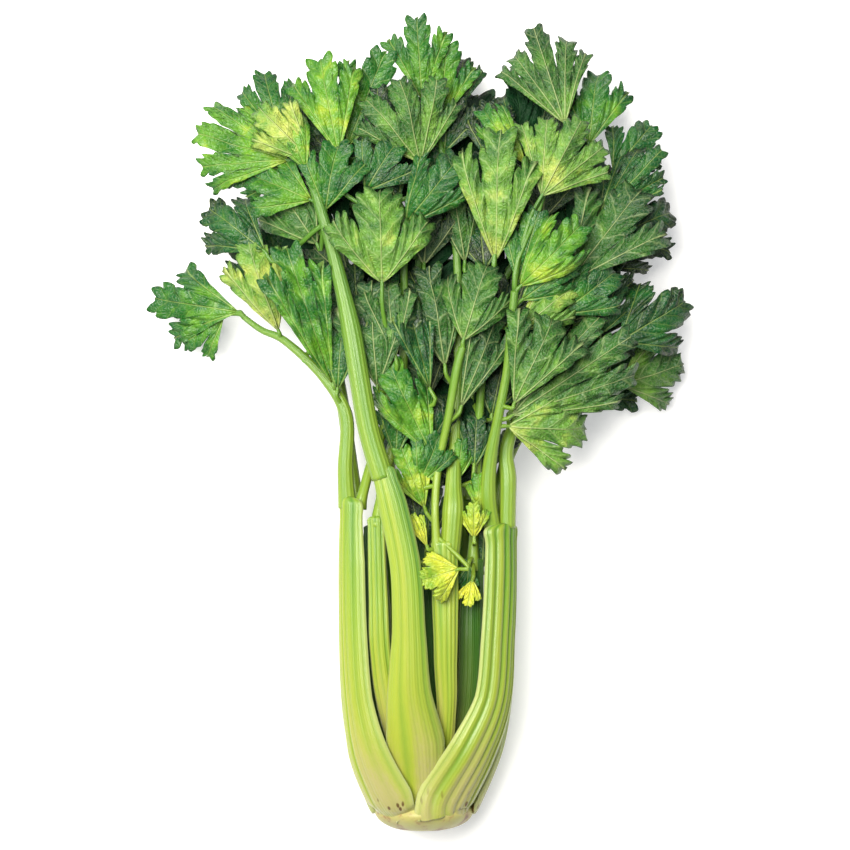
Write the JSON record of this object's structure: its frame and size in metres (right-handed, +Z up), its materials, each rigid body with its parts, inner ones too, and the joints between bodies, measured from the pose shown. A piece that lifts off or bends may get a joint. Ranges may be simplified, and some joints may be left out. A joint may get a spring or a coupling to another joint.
{
  "type": "head of celery",
  "caption": "Whole head of celery lying on its side: cut butt, ribbed crescent stalks, branching petioles and toothed, lobed leaves.",
  "frame": {"origin": "middle of the whole head's box, on the surface that it lies on", "axes": "+Z up from the surface, +Y from the cut butt towards the leaf tips, +X to the right as seen from above with the leaves at the top"},
  "size_m": [0.3278, 0.4911, 0.0887],
  "materials": {
    "butt": "satin",
    "stalk": "satin",
    "inner_stalk": "satin",
    "light_leaf": "satin",
    "mid_leaf": "satin",
    "deep_leaf": "satin",
    "yellow_leaf": "satin"
  },
  "bodies": {
    "root": {"butt": "butt", "stalk_front_left": "stalk", "stalk_front": "stalk", "stalk_front_right": "stalk", "stalk_left_under": "stalk", "stalk_bottom_left": "stalk", "stalk_bottom_right": "stalk", "stalk_right_under": "stalk", "stalk_narrow": "inner_stalk", "stalk_inner_pale": "inner_stalk", "stalk_inner_right": "inner_stalk", "stalk_inner_left": "inner_stalk", "stalk_inner_lower": "inner_stalk", "leaf_crossing": "light_leaf", "leaf_right_glossy": "light_leaf", "leaf_right_fan": "light_leaf", "leaf_middle_front": "light_leaf", "leaf_long_veined": "light_leaf", "leaf_right_low_fan": "light_leaf", "leaf_right_slender": "light_leaf", "leaf_left_broad": "light_leaf", "leaf_left_high": "light_leaf", "leaf_middle_yellow": "light_leaf", "leaf_top_tip": "light_leaf", "leaf_top_right": "light_leaf", "leaf_right_light": "light_leaf", "leaf_right_upright": "mid_leaf", "leaf_middle_net": "mid_leaf", "leaf_middle_side": "mid_leaf", "leaf_behind_petiole": "mid_leaf", "leaf_left_folded": "mid_leaf", "leaf_left_outer": "mid_leaf", "leaf_left_middle": "mid_leaf", "leaf_top_olive": "mid_leaf", "leaf_right_olive": "mid_leaf", "leaf_right_ridge": "mid_leaf", "leaf_right_grey": "mid_leaf", "leaf_right_corner": "mid_leaf", "leaf_left_top": "mid_leaf", "leaf_under_left": "mid_leaf", "leaf_under_top_left": "mid_leaf", "leaf_under_top": "mid_leaf", "leaf_under_right": "mid_leaf", "leaf_under_top_right": "mid_leaf", "leaf_saturated": "deep_leaf", "leaf_middle_folded": "deep_leaf", "leaf_left_arm": "deep_leaf", "leaf_right_blue": "deep_leaf", "leaf_right_gloss": "deep_leaf", "leaf_right_edge": "deep_leaf", "leaf_right_shade": "deep_leaf", "leaf_right_dark": "deep_leaf", "leaf_left_dark": "deep_leaf", "leaf_left_cream": "yellow_leaf", "leaf_serrated": "yellow_leaf", "leaf_left_pale_back": "yellow_leaf", "heart_leaf_round": "yellow_leaf", "heart_leaf_spear": "yellow_leaf", "heart_leaf_trident": "yellow_leaf", "heart_leaf_yellow": "yellow_leaf"}
  },
  "joints": []
}
